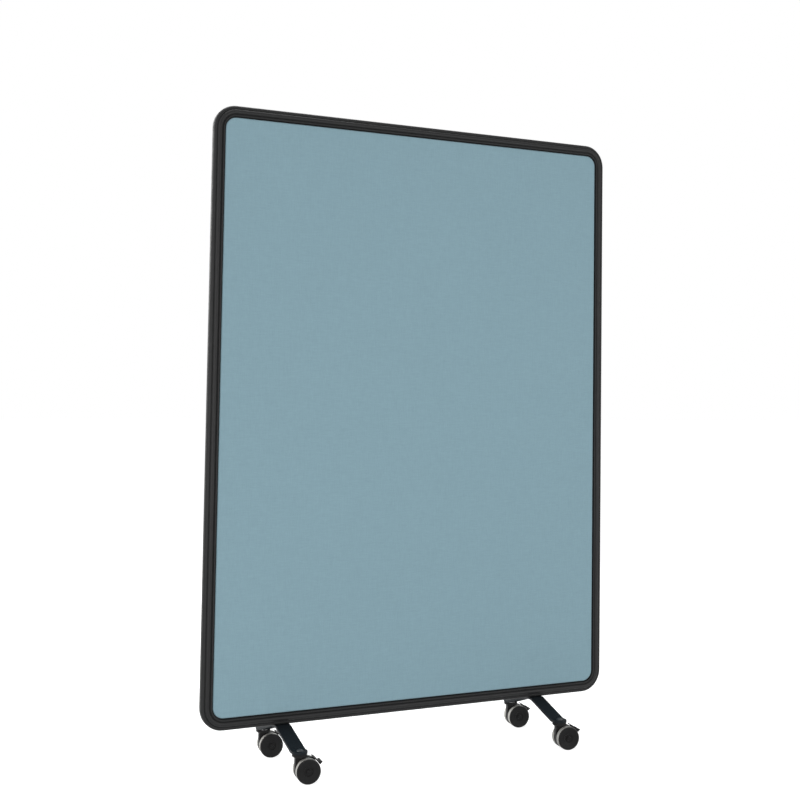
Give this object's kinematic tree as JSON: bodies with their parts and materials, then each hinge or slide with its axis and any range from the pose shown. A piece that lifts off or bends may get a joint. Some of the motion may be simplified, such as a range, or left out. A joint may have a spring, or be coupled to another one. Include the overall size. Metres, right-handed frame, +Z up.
{
  "type": "rolling partition",
  "caption": "Free-standing office screen with blue-grey fabric faces in a rounded black frame, on bent flat-bar feet with braked twin-wheel castors.",
  "frame": {"origin": "on the floor, under the middle of the screen", "axes": "+X along the screen to the right seen from the front, +Y from the front face to the rear, +Z up"},
  "size_m": [1.2, 0.3071, 1.6935],
  "materials": {
    "frame": "satin black powder coat on extruded aluminium",
    "foot": "satin black powder coat on steel bar",
    "fabric": "plain woven blue-grey polyester",
    "felt": "grey needle felt",
    "board": "plain wood-fibre board",
    "gasket": "matt black rubber",
    "zinc_steel": "zinc-plated steel",
    "black_nut": "black plated steel",
    "bush": "natural nylon",
    "castor_black": "fine-grained black nylon",
    "tread": "light grey rubber tread"
  },
  "bodies": {
    "screen": {"left_frame_half": "frame", "right_frame_half": "frame", "top_splice_bar": "zinc_steel", "bottom_splice_bar": "zinc_steel", "splice_screws": "zinc_steel", "core_board": "board", "front_acoustic_pad": "felt", "rear_acoustic_pad": "felt", "front_fabric": "fabric", "rear_fabric": "fabric", "front_gasket": "gasket", "rear_gasket": "gasket", "left_foot_bar": "foot", "right_foot_bar": "foot", "left_nut_plate": "zinc_steel", "right_nut_plate": "zinc_steel", "foot_screws": "zinc_steel", "castor_cap_nuts": "black_nut", "front_left_stem": "zinc_steel", "rear_left_stem": "zinc_steel", "front_right_stem": "zinc_steel", "rear_right_stem": "zinc_steel"},
    "front_left_castor": {"front_left_swivel_bush": "bush", "front_left_housing": "castor_black", "front_left_axle": "zinc_steel", "front_left_pedal_pin": "zinc_steel"},
    "front_left_front_wheel_set": {"front_left_front_wheel": "castor_black", "front_left_front_tyre": "tread"},
    "front_left_rear_wheel_set": {"front_left_rear_wheel": "castor_black", "front_left_rear_tyre": "tread"},
    "front_left_pedal": {"front_left_brake_pedal": "castor_black"},
    "rear_left_castor": {"rear_left_swivel_bush": "bush", "rear_left_housing": "castor_black", "rear_left_axle": "zinc_steel", "rear_left_pedal_pin": "zinc_steel"},
    "rear_left_front_wheel_set": {"rear_left_front_wheel": "castor_black", "rear_left_front_tyre": "tread"},
    "rear_left_rear_wheel_set": {"rear_left_rear_wheel": "castor_black", "rear_left_rear_tyre": "tread"},
    "rear_left_pedal": {"rear_left_brake_pedal": "castor_black"},
    "front_right_castor": {"front_right_swivel_bush": "bush", "front_right_housing": "castor_black", "front_right_axle": "zinc_steel", "front_right_pedal_pin": "zinc_steel"},
    "front_right_front_wheel_set": {"front_right_front_wheel": "castor_black", "front_right_front_tyre": "tread"},
    "front_right_rear_wheel_set": {"front_right_rear_wheel": "castor_black", "front_right_rear_tyre": "tread"},
    "front_right_pedal": {"front_right_brake_pedal": "castor_black"},
    "rear_right_castor": {"rear_right_swivel_bush": "bush", "rear_right_housing": "castor_black", "rear_right_axle": "zinc_steel", "rear_right_pedal_pin": "zinc_steel"},
    "rear_right_front_wheel_set": {"rear_right_front_wheel": "castor_black", "rear_right_front_tyre": "tread"},
    "rear_right_rear_wheel_set": {"rear_right_rear_wheel": "castor_black", "rear_right_rear_tyre": "tread"},
    "rear_right_pedal": {"rear_right_brake_pedal": "castor_black"}
  },
  "joints": [
    {"name": "front_left_swivel", "type": "hinge", "parent": "screen", "child": "front_left_castor", "pos_m": [-0.382, -0.127, 0.072], "axis": [0, 0, 1], "continuous": true},
    {"name": "front_left_front_wheel_spin", "type": "hinge", "parent": "front_left_castor", "child": "front_left_front_wheel_set", "pos_m": [-0.36323, -0.12997, 0.031], "axis": [0.1564, 0.9877, 0], "continuous": true},
    {"name": "front_left_rear_wheel_spin", "type": "hinge", "parent": "front_left_castor", "child": "front_left_rear_wheel_set", "pos_m": [-0.36323, -0.12997, 0.031], "axis": [0.1564, 0.9877, 0], "continuous": true},
    {"name": "front_left_brake", "type": "hinge", "parent": "front_left_castor", "child": "front_left_pedal", "pos_m": [-0.35303, -0.13159, 0.05042], "axis": [0.1564, 0.9877, 0], "range_deg": [0, 6]},
    {"name": "rear_left_swivel", "type": "hinge", "parent": "screen", "child": "rear_left_castor", "pos_m": [-0.382, 0.127, 0.072], "axis": [0, 0, 1], "continuous": true},
    {"name": "rear_left_front_wheel_spin", "type": "hinge", "parent": "rear_left_castor", "child": "rear_left_front_wheel_set", "pos_m": [-0.36323, 0.12403, 0.031], "axis": [0.1564, 0.9877, 0], "continuous": true},
    {"name": "rear_left_rear_wheel_spin", "type": "hinge", "parent": "rear_left_castor", "child": "rear_left_rear_wheel_set", "pos_m": [-0.36323, 0.12403, 0.031], "axis": [0.1564, 0.9877, 0], "continuous": true},
    {"name": "rear_left_brake", "type": "hinge", "parent": "rear_left_castor", "child": "rear_left_pedal", "pos_m": [-0.35303, 0.12241, 0.05042], "axis": [0.1564, 0.9877, 0], "range_deg": [0, 6]},
    {"name": "front_right_swivel", "type": "hinge", "parent": "screen", "child": "front_right_castor", "pos_m": [0.382, -0.127, 0.072], "axis": [0, 0, 1], "continuous": true},
    {"name": "front_right_front_wheel_spin", "type": "hinge", "parent": "front_right_castor", "child": "front_right_front_wheel_set", "pos_m": [0.40077, -0.12997, 0.031], "axis": [0.1564, 0.9877, 0], "continuous": true},
    {"name": "front_right_rear_wheel_spin", "type": "hinge", "parent": "front_right_castor", "child": "front_right_rear_wheel_set", "pos_m": [0.40077, -0.12997, 0.031], "axis": [0.1564, 0.9877, 0], "continuous": true},
    {"name": "front_right_brake", "type": "hinge", "parent": "front_right_castor", "child": "front_right_pedal", "pos_m": [0.41097, -0.13159, 0.05042], "axis": [0.1564, 0.9877, 0], "range_deg": [0, 6]},
    {"name": "rear_right_swivel", "type": "hinge", "parent": "screen", "child": "rear_right_castor", "pos_m": [0.382, 0.127, 0.072], "axis": [0, 0, 1], "continuous": true},
    {"name": "rear_right_front_wheel_spin", "type": "hinge", "parent": "rear_right_castor", "child": "rear_right_front_wheel_set", "pos_m": [0.40077, 0.12403, 0.031], "axis": [0.1564, 0.9877, 0], "continuous": true},
    {"name": "rear_right_rear_wheel_spin", "type": "hinge", "parent": "rear_right_castor", "child": "rear_right_rear_wheel_set", "pos_m": [0.40077, 0.12403, 0.031], "axis": [0.1564, 0.9877, 0], "continuous": true},
    {"name": "rear_right_brake", "type": "hinge", "parent": "rear_right_castor", "child": "rear_right_pedal", "pos_m": [0.41097, 0.12241, 0.05042], "axis": [0.1564, 0.9877, 0], "range_deg": [0, 6]}
  ]
}
